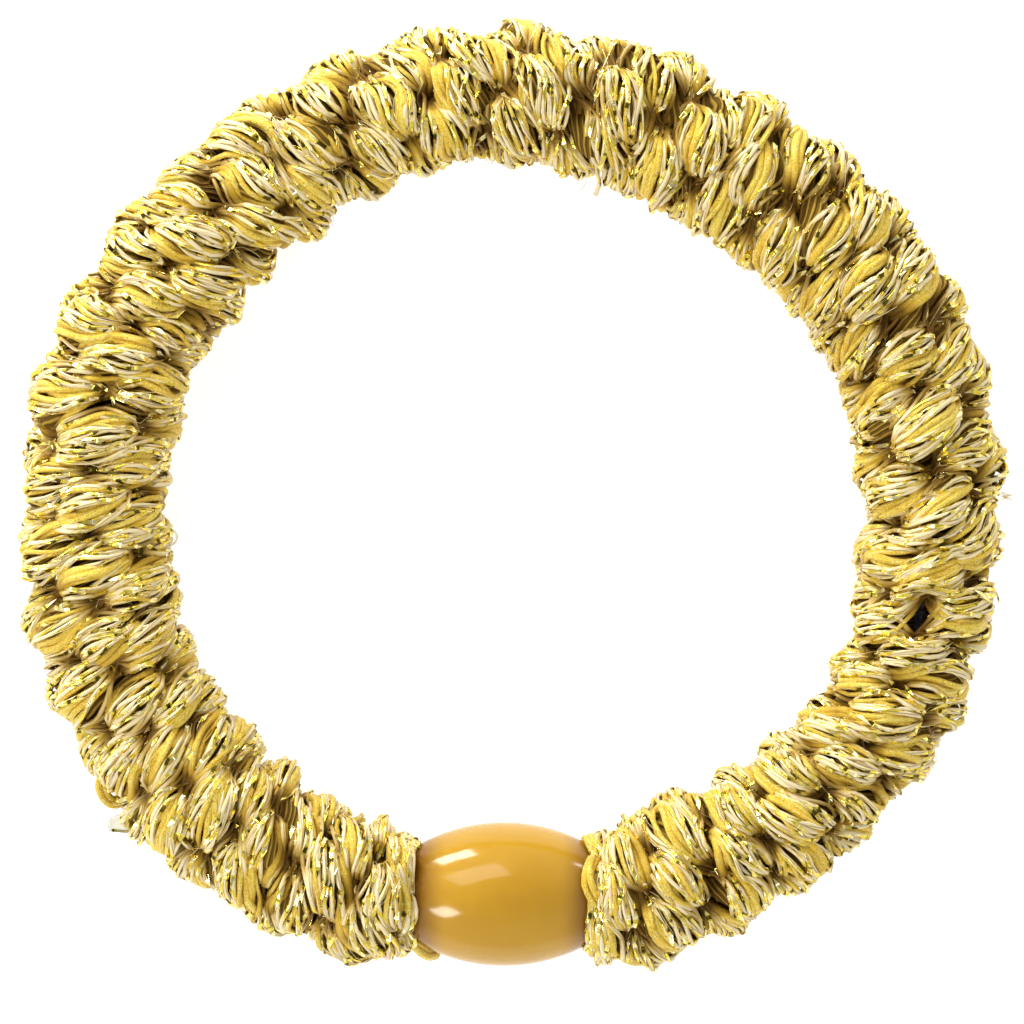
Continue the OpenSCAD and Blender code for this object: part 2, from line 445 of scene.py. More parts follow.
bm = bmesh.new()
bmesh.ops.create_grid(bm, x_segments=int(GATHERS * INNER_RINGS_PER_GATHER), y_segments=INNER_SIDES,
                      size=0.5)
grid = np.array([v.co for v in bm.verts])
g = INNER_MARGIN + (grid[:, 0] + 0.5) * (GATHERS - 2 * INNER_MARGIN)
s = grid[:, 1] * 360
r = crest_r(g, s) - PIT_DEPTH * INNER_RELIEF * pit_share(g, s) - INNER_DEPTH
_, away = from_hole(g, s)
r = np.minimum(r, HOLE_FLOOR_R + HOLE_SLOPE * np.maximum(away - HOLE_R, 0))
turn_layer = bm.verts.layers.float.new("turn")
depth_layer = bm.verts.layers.float.new("depth")
for v, p, turn, depth in zip(bm.verts, section_point(g, s, r), g - s / 180, CREST_R - r):
    v.co = p
    v.co.z = max(v.co.z, INNER_REST)
    v[turn_layer] = turn
    v[depth_layer] = depth / mm
bmesh.ops.remove_doubles(bm, verts=bm.verts, dist=0.01 * mm)
close_and_turn_out(bm, INNER_SIDES)
inner_turns = new_piece("inner_turns", bm, inner.material)
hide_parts("yarn_cover")


# The yarns: four bundles that wind round the elastic side by side and dip under each other by
# turns, like bricks in a wall. Each holds fine cream yarns, a thick soft floss of brushed gold fibre
# and single gold strands. Nothing fixes them but their own grip and the bead that crowds their ends.

# What is in each bundle, and the room across it that each kind takes
BUNDLES = [["cream"] * 11 + ["floss"] + ["ply"], ["cream"] * 9 + ["floss"] + ["ply"] * 2,
           ["cream"] * 11 + ["floss"] + ["ply"], ["cream"] * 9 + ["floss"] + ["ply"] * 2]
ROOM = {"cream": 0.30 * mm, "floss": 0.90 * mm, "ply": 0.34 * mm}
CREAM_R = 0.155 * mm
SINGLE_R = 0.18 * mm
# A floss has plies that lie side by side and twist slowly round each other
FLOSS_PLIES = 3
FLOSS_PLY_R = 0.26 * mm
FLOSS_SPREAD = 0.27 * mm
FLOSS_FLATNESS = 0.55
FLOSS_TWIST = 15 * mm
TWIST_UNEVENNESS = 0.5
TWIST_WAVES = 2.3
# How far under the crests the middle of a floss lies, and how far it sinks under the creams
FLOSS_LIE = 0.35 * mm
FLOSS_SINK = 0.12 * mm
# Single gold strands that lie under the others in each bundle: places across it, and how far down
UNDER_PLACES = [-0.26, 0.22]
UNDER_DEPTH = 0.24 * mm

# A float is one pass of a bundle over the others: how many in a turn, and gathers and degrees of each
FLOATS_PER_TURN = ROWS_AROUND // 2
FLOAT_CLIMB = BUNDLE_CLIMB / FLOATS_PER_TURN
FLOAT_TURN = 360 / FLOATS_PER_TURN
# Length of a float round the cover, as a share of a gather's length along it
FLOAT_ASPECT = 1.6
# Gathers by which the odd bundles start further along than the even ones
ODD_START = 0.75
# Width of a bundle in gathers on a crest and in a neck, and the share of a float that a neck takes
CREST_WIDTH = 0.86
NECK_WIDTH = 0.48
NECK_BLEND = 0.2
# How far a float reaches before its strands tuck under the next, how round it is, and how they tuck
FLOAT_REACH = 0.415
FLOAT_ROUNDNESS = 1.45
TUCK_DEPTH = 1.1 * mm
TUCK_EDGE = 0.15
TUCK_START = 0.2
# Ring angle, and how far in degrees the strands on top lean away from straight across
LEAN = [(-90, 4), (-45, 8), (-30, 14), (0, 20), (30, 13), (60, 9), (90, 5), (105, 9), (125, 18),
        (150, 2), (165, 0), (180, 10), (210, 18), (225, 23), (240, 17), (270, 4)]
# Ring angle, and how much further the floats there reach, which leaves smaller pits between them
MORE_REACH = [(-90, 0), (5, 0.01), (30, -0.04), (50, -0.04), (70, 0.01), (90, 0.03), (120, 0.02),
              (180, 0.02), (210, 0), (240, -0.015), (270, 0.01)]
# How much single floats differ in place, height, width, reach, tilt and roll
SHIFT_SPREAD = 0.075
LIFT_SPREAD = 0.20 * mm
WIDTH_SPREAD = 0.11
REACH_SPREAD = 0.09
TILT_SPREAD = 0.036
ROLL_SPREAD = 0.32 * mm
# How much single strands differ in place across, slant and depth, on top and underneath
ACROSS_SPREAD = 0.022
SLANT_SPREAD = 0.042
DEPTH_SPREAD = 0.13 * mm
UNDER_ACROSS_SPREAD = 0.06
UNDER_SLANT_SPREAD = 0.034
UNDER_DEPTH_SPREAD = 0.11 * mm
# Slow waves in each strand, across it in gathers and up and down: their rate along the floats, size
SWAY_ACROSS = [(7.3, 0.016), (12.1, 0.010)]
SWAY_UP = [(9.1, 0.05 * mm), (14.7, 0.04 * mm)]
# The thickness of a strand, as shares of its usual radius: its own size, a slow wave, and the most
STRAND_SIZE = (0.86, 1.16)
SWELL = 0.1
SWELL_LENGTH = 1.9 * mm
MOST_SWELL = 1.27

# How the bundles end at the bead. They run on for some gathers, are pushed together over the last
# ones, lap over the bead a little, more on the right, and dive under it with their ends
OVERRUN = 0.6
END_ROOM = 0.45
END_FREE = -1.05
LAP_LEFT = -0.16
LAP_RIGHT = -0.24
END_PACKED = 0.6
DIVE = 1.6 * mm
DIVE_FLOATS = 0.6
DIVE_SHIFT = 0.2
# Gathers past the cover's end at which the bead's surface starts to hold up the strands, and is full
BEAD_FROM = 0.005
BEAD_RISE = 0.04
# The strands part round the open pit: how wide, and how far, in its radii
PART_REACH = 3
PART_PUSH = 1.4
# More floats than are drawn, so that each one has a neighbour
SPARE_FLOATS = 6
POINTS_PER_FLOAT = 11
draw = np.random.default_rng(7)
draw_under = np.random.default_rng(8)


class Bundle:
    """One of the four bundles: where it starts, and how each of its floats lies."""

    def __init__(self, number, kinds):
        self.odd = number % 2
        self.start = FIRST_CREST + ODD_START * self.odd + number // 2
        self.kinds = kinds
        self.floats = int((GATHERS + 2 * OVERRUN) / FLOAT_CLIMB) + SPARE_FLOATS
        self.shift = draw.normal(0, SHIFT_SPREAD, self.floats)
        self.lift = draw.normal(0, LIFT_SPREAD, self.floats)
        self.width = 1 + draw.normal(0, WIDTH_SPREAD, self.floats)
        self.reach = FLOAT_REACH * (1 + draw.normal(0, REACH_SPREAD, self.floats))
        self.tilt = draw.normal(0, TILT_SPREAD, self.floats)
        self.roll = draw.normal(0, ROLL_SPREAD, self.floats)
        room = np.array([ROOM[kind] for kind in kinds])
        self.across = np.zeros((self.floats, len(kinds)))
        for n in range(self.floats):
            order = draw.permutation(len(kinds))
            ends = np.cumsum(room[order])
            self.across[n, order] = (ends - room[order] / 2) / ends[-1] - 0.5
        self.across += draw.normal(0, ACROSS_SPREAD, self.across.shape)
        self.slant = draw.normal(0, SLANT_SPREAD, self.across.shape)
        sink = np.array([FLOSS_SINK if kind == "floss" else 0 for kind in kinds])
        self.depth = sink + abs(draw.normal(0, DEPTH_SPREAD, self.across.shape))
        self.phases = draw.uniform(0, math.tau, (4, len(kinds)))
        self.add_under()

    def add_under(self):
        """Adds the gold strands that lie under the others."""
        places = np.tile(UNDER_PLACES, (self.floats, 1))
        across = places + draw_under.normal(0, UNDER_ACROSS_SPREAD, places.shape)
        slant = draw_under.normal(0, UNDER_SLANT_SPREAD, places.shape)
        depth = UNDER_DEPTH + abs(draw_under.normal(0, UNDER_DEPTH_SPREAD, places.shape))
        phases = draw_under.uniform(0, math.tau, (4, len(UNDER_PLACES)))
        self.across = np.hstack([self.across, across])
        self.slant = np.hstack([self.slant, slant])
        self.depth = np.hstack([self.depth, depth])
        self.phases = np.hstack([self.phases, phases])
        self.kinds = self.kinds + ["under"] * len(UNDER_PLACES)

    def first_float(self):
        return (-OVERRUN - self.start) / FLOAT_CLIMB

    def last_float(self):
        return (GATHERS + OVERRUN - self.start) / FLOAT_CLIMB


def held(values, f):
    """A float's own value over its crest, passing smoothly to the next one's in the neck."""
    nearest = np.floor(f + 0.5).astype(int)
    t = f + 0.5 - nearest
    n = nearest - nearest[0]
    here = values[n]
    before = values[np.maximum(n - 1, 0)]
    after = values[np.minimum(n + 1, len(values) - 1)]
    back = 0.5 * (1 - smooth(t / NECK_BLEND))
    on = 0.5 * (1 - smooth((1 - t) / NECK_BLEND))
    return here + (before - here) * back + (after - here) * on


def sway(waves, f, phases):
    """The sum of slow waves along the floats f, each (rate, size) with its own phase."""
    return sum(size * np.sin(f * rate + phase) for (rate, size), phase in zip(waves, phases))


def pushed(from_end, lap):
    """Gathers from one end, pushed together near it so that the last turns just lap over the bead."""
    free = END_ROOM - END_FREE
    share = np.clip((from_end - END_FREE) / free, 0, 1)
    near = lap + (END_ROOM - lap) * share ** (free / (END_ROOM - lap))
    return np.where(from_end < END_ROOM, near, from_end)


def crowded(g):
    return np.where(g < GATHERS / 2, pushed(g, LAP_RIGHT), GATHERS - pushed(GATHERS - g, LAP_LEFT))


def bead_r(g):
    """Radius of the bead under the end of the cover, or 0 where the cover is clear of it."""
    over = np.maximum(-g, g - GATHERS)
    along = bead_len / 2 + SEAT_GAP - over * GATHER_LEN
    barrel = bead_d / 2 - BARREL_R + np.sqrt(BARREL_R ** 2 - np.minimum(along, bead_len / 2) ** 2)
    return barrel * smooth((over - BEAD_FROM) / BEAD_RISE)


def strand(bundle, member, points_per_float, radius):
    """One strand: the points of its middle line, its section normals, and its depth at each point."""
    start, end = bundle.first_float(), bundle.last_float()
    f = np.linspace(start, end, int((end - start) * points_per_float))
    wave = math.tau * f
    s = FLOAT_TURN * f + FLOAT_TURN / 2 * bundle.odd
    phases = bundle.phases[:, member]

    # Across its bundle, a strand closes up with the others in the necks between the floats
    across = held(bundle.across[:, member], f)
    spread = (CREST_WIDTH + NECK_WIDTH) / 2 + (CREST_WIDTH - NECK_WIDTH) / 2 * np.cos(wave)
    offset = across * spread * held(bundle.width, f) + held(bundle.slant[:, member], f) * np.sin(wave)
    offset = offset + sway(SWAY_ACROSS, f, phases[:2])

    # Along the cover, it climbs and leans, parts from others round the open pit, and crowds at the bead
    centre = bundle.start + FLOAT_CLIMB * f
    shift = held(bundle.shift, f)
    slope = np.tan(np.radians(read_off(LEAN, ring_angle(centre)))) * FLOAT_ASPECT
    lean = (FLOAT_CLIMB - slope) / math.tau + held(bundle.tilt, f)
    g_free = centre + offset + shift - lean * np.sin(wave)
    g = crowded(g_free)
    along, away = from_hole(g, s)
    parted = smooth(1 - away / (PART_REACH * HOLE_R)) * HOLE_R * PART_PUSH / GATHER_LEN
    g = g + np.sign(along[away.argmin()]) * parted

    # Up and down, it swells over the crests, tucks under at the float's ends, and dives at the bead
    from_crest = abs(f - np.round(f))
    size = (abs(offset) ** FLOAT_ROUNDNESS + from_crest ** FLOAT_ROUNDNESS) ** (1 / FLOAT_ROUNDNESS)
    reach = held(bundle.reach, f) + read_off(MORE_REACH, ring_angle(centre))
    tuck = smooth((size - reach) / TUCK_EDGE + TUCK_START)
    dive = smooth(1 - np.minimum(f - start, end - f) / DIVE_FLOATS)
    g = g + np.where(g < GATHERS / 2, DIVE_SHIFT, -DIVE_SHIFT) * dive
    packed = 1 - END_PACKED * smooth(1 - np.minimum(g, GATHERS - g) / END_ROOM)
    sunk = (PIT_DEPTH * pit_share(g_free - shift, s) + TUCK_DEPTH * tuck) * packed
    lifted = (np.cos(wave) + 1) / 2 * (held(bundle.lift, f) + across * 2 * held(bundle.roll, f))
    r = (crest_r(g, s) - sunk - radius - DIVE * dive + lifted
         - held(bundle.depth[:, member], f) + sway(SWAY_UP, f, phases[2:]))
    r = np.maximum(r, bead_r(g) + radius)
    points = section_point(g, s, r)
    normals = unit(points - section_point(g, s, 0 * r))
    points[:, 2] = np.maximum(points[:, 2], MOST_SWELL * radius)
    return points, normals, crest_r(g, s) - r


def length_along(points):
    return np.concatenate([[0], np.cumsum(np.linalg.norm(np.diff(points, axis=0), axis=1))])


def sides_of(points, normals):
    """Unit directions to the side of the line and up from it, at each point."""
    along = unit(np.gradient(points, axis=0))
    side = unit(np.cross(along, normals))
    return side, np.cross(side, along)


def plies_of(line):
    """The plies of one floss, which twist slowly round each other and lie flat side by side."""
    points, normals, depth = line
    side, top = sides_of(points, normals)
    turn = length_along(points) * math.tau / FLOSS_TWIST + draw.uniform(0, math.tau)
    plies = []
    for k in range(FLOSS_PLIES):
        angle = turn + k * math.tau / FLOSS_PLIES + TWIST_UNEVENNESS * np.sin(turn * TWIST_WAVES + k)
        flat_turn = np.cos(angle)[:, None] * side + FLOSS_FLATNESS * np.sin(angle)[:, None] * top
        out = flat_turn * FLOSS_SPREAD
        ply = points + out
        ply[:, 2] = np.maximum(ply[:, 2], MOST_SWELL * FLOSS_PLY_R)
        plies.append((ply, normals, depth - (out * top).sum(axis=1)))
    return plies


def strand_tubes(name, lines, radius, material, resolution=1):
    """One mesh of round strands along the lines, each (points, normals, depth)."""
    data = bpy.data.curves.new(name, "CURVE")
    data.dimensions = "3D"
    data.bevel_depth = radius
    data.bevel_resolution = resolution
    for points, _, _ in lines:
        spline = data.splines.new("POLY")
        spline.points.add(len(points) - 1)
        spline.points.foreach_set("co", np.column_stack([points, np.ones(len(points))]).ravel())
        size = draw.uniform(*STRAND_SIZE)
        swell = SWELL * np.sin(length_along(points) / SWELL_LENGTH + draw.uniform(0, math.tau))
        spline.points.foreach_set("radius", size + swell)
    shaper = bpy.data.objects.new(name + "_line", data)
    bpy.context.scene.collection.objects.link(shaper)
    bpy.context.view_layer.update()
    mesh = bpy.data.meshes.new_from_object(shaper)
    bpy.data.objects.remove(shaper)
    bpy.data.curves.remove(data)
    sides = 4 + 2 * resolution
    number = np.concatenate([np.full(len(points), k) for k, (points, _, _) in enumerate(lines)])
    run = np.concatenate([length_along(points) for points, _, _ in lines])
    depth = np.concatenate([depth for _, _, depth in lines])
    for attribute, value in (("strand", number), ("run", run / mm), ("depth", depth / mm)):
        layer = mesh.attributes.new(attribute, "FLOAT", "POINT")
        layer.data.foreach_set("value", np.repeat(value, sides).astype(np.float32))
    bm = bmesh.new()
    bm.from_mesh(mesh)
    close_and_turn_out(bm, sides)
    bm.to_mesh(mesh)
    bm.free()
    piece = place_piece(name, mesh, material)
    return piece


def around_strand(finish):
    """A strand's UV map runs along it in U and once round it in V: this is V as an angle."""
    uv = finish.node("ShaderNodeUVMap", {"uv_map": "UVMap"})
    return finish.node("ShaderNodeSeparateXYZ", None, {"Vector": uv}, output="Y") * math.tau


def fibre_noise(finish, stretch, fineness, twist_mm, detail):
    """Noise in long streaks that run along the strand, with no seam round it."""
    run = finish.attribute("run")
    angle = around_strand(finish) + run * (math.tau / twist_mm)
    place = finish.vector(angle.cosine() * fineness, angle.sine() * fineness,
                          run * stretch + finish.attribute("strand") * 31)
    return finish.noise(place, scale=2.0, detail=detail, roughness=0.65)


def run_noise(finish, stretch, apart, detail=1.0):
    """Noise that changes only along a strand, and that each strand reads at a place of its own."""
    place = finish.vector(finish.attribute("run") * stretch, finish.attribute("strand") * apart, 0)
    return finish.noise(place, scale=1.0, detail=detail)


CREAM_PINK = (0.80, 0.62, 0.41, 1)
CREAM_PALE = (0.89, 0.75, 0.44, 1)
CREAM_YELLOW = (0.87, 0.73, 0.28, 1)
CREAM_DULL_FIBRE = (0.72, 0.56, 0.28, 1)
# Whiter fibres, partly painted sheen along the yarn
CREAM_WHITE_FIBRE_AND_PAINTED_SHEEN = (0.91, 0.86, 0.68, 1)
# Painted shade in the grooves between the plies
CREAM_GROOVE_PAINTED_SHADE = (0.40, 0.27, 0.08, 1)
CREAM_SHADE = (0.62, 0.42, 0.10, 1)
CREAM_DEEP_SHADE = (0.20, 0.10, 0.013, 1)
FLECK_GOLD = (0.84, 0.66, 0.10, 1)
# The film band on the yarn: gold, with painted white-gold glints and painted dark reflections
FLECK_PAINTED_GLINT = (1.0, 0.85, 0.42, 1)
FLECK_PAINTED_DARK_REFLECTION = (0.12, 0.092, 0.012, 1)
# Length along a yarn, in mm, in which its two plies and the film on it go once round
GROOVE_TWIST_MM = 5.5
FLECK_TWIST_MM = 3.6

cream = Finish("cream_yarn", Specular_IOR_Level=0.45, Specular_Tint=(1, 0.86, 0.55, 1))
run = cream.attribute("run")
number = cream.attribute("strand")
angle = around_strand(cream)
streak = fibre_noise(cream, stretch=0.5, fineness=1.2, twist_mm=3.2, detail=3.0)
patch = run_noise(cream, stretch=0.4, apart=7, detail=2.0)
pale = cream.blend(patch.band(0.34, 0.46), CREAM_PINK, CREAM_PALE)
pale = cream.blend(patch.band(0.54, 0.66), pale, CREAM_YELLOW)
body = cream.blend(streak.band(0.28, 0.46), CREAM_DULL_FIBRE, pale)
# Streaks of whiter fibres, which are partly painted sheen
body = cream.blend(streak.band(0.56, 0.70), body, CREAM_WHITE_FIBRE_AND_PAINTED_SHEEN)
# The grooves between the two plies of a yarn are darkened with painted shade, and its number sets where
# they start
groove = (angle * 2 + run * (math.tau / GROOVE_TWIST_MM) + number * 1.7).sine().band(0.72, 0.98)
body = cream.blend(groove * 0.75, body, CREAM_GROOVE_PAINTED_SHADE)
# A thread of film is spun in with each yarn too, and shows on it as a band of metal flecks
wander = run_noise(cream, stretch=0.35, apart=13)
fleck = (angle + run * (math.tau / FLECK_TWIST_MM) + wander * 9 + number * 2.4).sine().band(0.28, 0.62)
# Along the band, patches are painted white-gold glints and painted dark reflections of the room above
facet = run_noise(cream, stretch=1.1, apart=17)
metal = cream.blend(facet.band(0.52, 0.60), FLECK_GOLD, FLECK_PAINTED_GLINT)
metal = cream.blend(facet.band(0.40, 0.45), FLECK_PAINTED_DARK_REFLECTION, metal)
# Under the crests the yarn is in shade, and its metal doesn't shine there
shade = cream.attribute("depth")
shaded = cream.blend(shade.band(0.75, 1.4), cream.blend(fleck, body, metal), CREAM_SHADE)
cream.vary("Base Color", cream.blend(shade.band(1.0, 1.85), shaded, CREAM_DEEP_SHADE))
cream.vary("Metallic", fleck * shade.band(0.7, 1.2, 0.95, 0.0))
cream.vary("Roughness", fleck.band(0.0, 1.0, 0.36, 0.26))
cream.relief(streak * 0.3 - groove, strength=0.5, distance=0.04 * mm)

FLOSS_GOLD = (0.95, 0.61, 0.050, 1)
FLOSS_LEMON = (1.0, 0.775, 0.115, 1)
HAIR_DARK = (0.67, 0.43, 0.030, 1)
# Lighter fibres, partly painted sheen
HAIR_LIGHT_AND_PAINTED_SHEEN = (1.0, 0.87, 0.38, 1)
GRAIN_DARK = (0.60, 0.40, 0.028, 1)
# Light specks of the grain, painted as glints
GRAIN_PAINTED_GLINT = (1.0, 0.91, 0.48, 1)
FLOSS_SHADE = (0.66, 0.40, 0.032, 1)
FLOSS_DEEP_SHADE = (0.20, 0.10, 0.012, 1)

floss = Finish("gold_floss", Roughness=0.34, Metallic=0.2, Specular_IOR_Level=0.6,
               Specular_Tint=(1, 0.86, 0.4, 1))
hair = fibre_noise(floss, stretch=0.35, fineness=2.6, twist_mm=9, detail=4.0)
grain = floss.noise(floss.place(), scale=7600, roughness=0.6)
tint = run_noise(floss, stretch=0.2, apart=3)
gold = floss.blend(tint.band(0.35, 0.65), FLOSS_GOLD, FLOSS_LEMON)
gold = floss.blend(hair.band(0.32, 0.50), HAIR_DARK, gold)
# Lighter fibre streaks, which are partly painted sheen
gold = floss.blend(hair.band(0.54, 0.68), gold, HAIR_LIGHT_AND_PAINTED_SHEEN)
gold = floss.blend(grain.band(0.34, 0.44), GRAIN_DARK, gold)
# Painted glints: the lightest specks of the fine grain
gold = floss.blend(grain.band(0.58, 0.68), gold, GRAIN_PAINTED_GLINT)
shade = floss.attribute("depth")
shaded = floss.blend(shade.band(0.8, 1.45), gold, FLOSS_SHADE)
floss.vary("Base Color", floss.blend(shade.band(1.0, 1.9), shaded, FLOSS_DEEP_SHADE))
floss.relief(hair + grain * 0.8, strength=0.9, distance=0.10 * mm)

bundles = [Bundle(number, kinds) for number, kinds in enumerate(BUNDLES)]
cream_lines, floss_lines, single_lines = [], [], []
for bundle in bundles:
    for member, kind in enumerate(bundle.kinds):
        if kind == "cream":
            cream_lines.append(strand(bundle, member, POINTS_PER_FLOAT, CREAM_R))
        elif kind == "floss":
            floss_lines += plies_of(strand(bundle, member, POINTS_PER_FLOAT, FLOSS_LIE))
        else:
            single_lines.append(strand(bundle, member, POINTS_PER_FLOAT, SINGLE_R))
half = len(cream_lines) // 2
strand_tubes("cream_yarn_a", cream_lines[:half], CREAM_R, cream.material)
strand_tubes("cream_yarn_b", cream_lines[half:], CREAM_R, cream.material)
strand_tubes("gold_floss", floss_lines, FLOSS_PLY_R, floss.material)
strand_tubes("gold_ply", single_lines, SINGLE_R, floss.material)


# The film threads: narrow ribbons of gold-coated plastic film, wound round about two in three of
# the cream yarns and held by the turns beside them. Their flat facets mirror the lights and the
# dark above, so they glitter white-gold and black, and their colour adds painted white-gold glints
# and painted dark reflections in patches along them.
FILM_SHARE = 0.62
FILM_POINTS_PER_FLOAT = 17
FILM_WIDTH = 0.29 * mm
FILM_THICK = 0.02 * mm
FILM_REST = 0.02 * mm
# How far from the middle of its yarn the film lies, and the length along in which it goes once round
FILM_LIE = 0.188 * mm
FILM_PITCH = 3.4 * mm
PITCH_SPREAD = 0.1
# A slow wave in how the film winds, in radians, and its length along
WIND_WAVE = 0.6
WIND_LENGTH = 3.1 * mm
# How far in radians each facet rocks to its side, and how much of that the next one takes over
ROCK_SPREAD = 0.24
ROCK_CARRY = 0.7
FILM_GOLD = (0.88, 0.70, 0.10, 1)
# The film's gold, with painted white-gold glints and painted dark reflections
FILM_PAINTED_GLINT = (1.0, 0.87, 0.46, 1)
FILM_PAINTED_DARK_REFLECTION = (0.11, 0.085, 0.010, 1)

gold_film = Finish("gold_film", Metallic=1.0, Roughness=0.24)
# Patches along the film are painted white-gold glints and painted dark reflections
facet = run_noise(gold_film, stretch=1.2, apart=5)
gold_and_painted_glint = gold_film.blend(facet.band(0.47, 0.55), FILM_GOLD, FILM_PAINTED_GLINT)
gold_film.vary("Base Color", gold_film.blend(facet.band(0.38, 0.42), FILM_PAINTED_DARK_REFLECTION, gold_and_painted_glint))


def ribbons(name, strips, material):
    """Flat ribbons, each (middle line, direction across it, width), drawn out of one edge line."""
    bm = bmesh.new()
    strand_layer = bm.verts.layers.float.new("strand")
    run_layer = bm.verts.layers.float.new("run")
    for k, (centre, across, width) in enumerate(strips):
        reach = across * np.broadcast_to(width, len(centre))[:, None] / 2
        thick = unit(np.cross(across, np.gradient(centre, axis=0))) * FILM_THICK / 2
        corners = [centre - reach - thick, centre + reach - thick,
                   centre + reach + thick, centre - reach + thick]
        for corner in corners:
            corner[:, 2] = np.maximum(corner[:, 2], FILM_REST)
        first = [bm.verts.new(p) for p in corners[0]]
        for v, run in zip(first, length_along(centre)):
            v[strand_layer] = k
            v[run_layer] = run / mm
        edges = [bm.edges.new(pair) for pair in zip(first, first[1:])]
        for corner in corners[1:] + corners[:1]:
            drawn = bmesh.ops.extrude_edge_only(bm, edges=edges)["geom"]
            edges = [e for e in drawn if isinstance(e, bmesh.types.BMEdge)]
            last = [v for v in drawn if isinstance(v, bmesh.types.BMVert)]
            last.sort(key=lambda v: v[run_layer])
            for v, p in zip(last, corner):
                v.co = p
        bmesh.ops.weld_verts(bm, targetmap=dict(zip(last, first)))
    close_and_turn_out(bm, 4)
    piece = new_piece(name, bm, material, smooth=False)
    return piece


def wound_strips(lines):
    """The strips of film that wind round the cream yarns along the lines."""
    strips = []
    for points, normals, _ in lines:
        side, top = sides_of(points, normals)
        run = length_along(points)
        pitch = FILM_PITCH * (1 + PITCH_SPREAD * draw.normal())
        turn = run * math.tau / pitch + draw.uniform(0, math.tau)
        turn = turn + WIND_WAVE * np.sin(run / WIND_LENGTH + draw.uniform(0, math.tau))
        out = np.cos(turn)[:, None] * top + np.sin(turn)[:, None] * side
        centre = points + out * FILM_LIE
        rock = draw.normal(0, ROCK_SPREAD, len(run))[:, None]
        rock = rock + ROCK_CARRY * np.roll(rock, 1)
        across = np.cross(unit(np.gradient(centre, axis=0)), out)
        strips.append((centre, unit(across * np.cos(rock) + out * np.sin(rock)), FILM_WIDTH))
    return strips


film_lines = [strand(bundle, member, FILM_POINTS_PER_FLOAT, CREAM_R)
              for bundle in bundles for member, kind in enumerate(bundle.kinds)
              if kind == "cream" and member < FILM_SHARE * bundle.kinds.count("cream")]
half = len(film_lines) // 2
ribbons("film_thread_a", wound_strips(film_lines[:half]), gold_film.material)
ribbons("film_thread_b", wound_strips(film_lines[half:]), gold_film.material)


# The loops and ends that have been pulled out of the cover: two loops of floss, a short yarn tail,
# two tight film threads over a pit, and a flap, a loop and slivers of film that has partly lost its
# gold. All are still held in the yarn at one end at least.
BEAD_LOOP = [(-7.3, -28.4, 6.3), (-6.9, -29.6, 6.0), (-6.3, -30.45, 5.4), (-5.65, -30.95, 4.4),
             (-5.3, -30.95, 3.2), (-5.8, -30.4, 1.9), (-7.2, -29.3, 1.5)]
OUTER_LOOP = [(-26.6, -18.4, 5.8), (-27.4, -19.4, 5.6), (-27.3, -20.2, 5.3), (-26.8, -20.7, 5.0),
              (-26.1, -20.5, 4.6), (-25.4, -20.0, 4.2), (-24.6, -19.6, 3.8)]
OUTER_LOOP_PLIES = 2
YARN_TAIL = [(5.5, 22.4, 6.4), (5.65, 21.4, 6.2), (5.8, 20.6, 5.4), (5.55, 19.95, 4.9)]
TIGHT_THREADS = [[(6.65, 29.5, 9.6), (6.0, 28.1, 9.95), (5.3, 26.6, 9.8)],
                 [(5.95, 29.3, 9.6), (6.5, 27.6, 9.9), (6.9, 25.9, 9.7)]]
TIGHT_THREAD_R = 0.035 * mm
FLAP = [(-24.9, -22.1, 4.6), (-25.7, -22.1, 4.9), (-26.5, -22.2, 5.0), (-27.0, -22.35, 5.0)]
FLAP_EDGE = [(-24.9, -22.75, 4.7), (-25.8, -22.72, 5.0), (-26.85, -22.62, 5.1)]
FLAP_RIM = [(-24.7, -21.5, 5.0), (-25.9, -21.5, 5.2), (-26.75, -21.75, 5.3), (-27.05, -22.2, 5.3),
            (-26.95, -22.65, 5.2)]
CLEAR_LOOP = [(-24.0, -2.7, 7.9), (-23.4, -2.35, 7.9), (-22.9, -2.33, 7.6), (-22.5, -2.6, 7.2),
              (-22.36, -3.0, 6.8), (-22.6, -3.4, 6.4), (-23.3, -3.6, 6.2)]
LOOP_EDGE = [(-23.8, -2.66, 8.3), (-23.4, -2.36, 8.35), (-22.95, -2.33, 8.1), (-22.5, -2.65, 7.8)]
SIDE_SLIVER = [(31.6, -6.1, 6.3), (32.05, -6.35, 6.3), (32.36, -6.85, 6.2), (32.48, -7.3, 6.0)]
FLAP_WIDTH = 1.2 * mm
FLAP_TIP_WIDTH = 0.75 * mm
FLAP_EDGE_WIDTH = 0.20 * mm
LOOP_EDGE_WIDTH = 0.14 * mm
SLIVER_WIDTH = 0.11 * mm
FLAP_RIM_R = 0.05 * mm
CLEAR_LOOP_R = 0.09 * mm
# Points between two corners of a pulled-out line, and its depth, which gives its shade
STEPS_BETWEEN = 7
PULLED_DEPTH = 0.2 * mm
# Directions across the strips
LEVEL = np.array([0, 1.0, 0])
SIDEWAYS = np.array([1.0, 0, 0])


def rounded(corners):
    """A smooth line through the corners, given in mm from the middle of the tie."""
    p = np.array([corners[0], *corners, corners[-1]]) * mm
    t = np.linspace(0, 1, STEPS_BETWEEN, endpoint=False)[:, None]
    line = [b + 0.5 * ((c - a) * t + (2 * a - 5 * b + 4 * c - d) * t ** 2
                       + (3 * b - a - 3 * c + d) * t ** 3)
            for a, b, c, d in zip(p, p[1:], p[2:], p[3:])]
    return np.concatenate(line + [p[-1:]])


def free_line(corners):
    """A line as strand_tubes takes it, for a piece that isn't part of a bundle."""
    points = rounded(corners)
    return points, np.tile([0, 0, 1.0], (len(points), 1)), np.full(len(points), PULLED_DEPTH)


def free_strip(corners, across, width):
    """A strip as ribbons takes it."""
    line = rounded(corners)
    return line, np.tile(across, (len(line), 1)), width


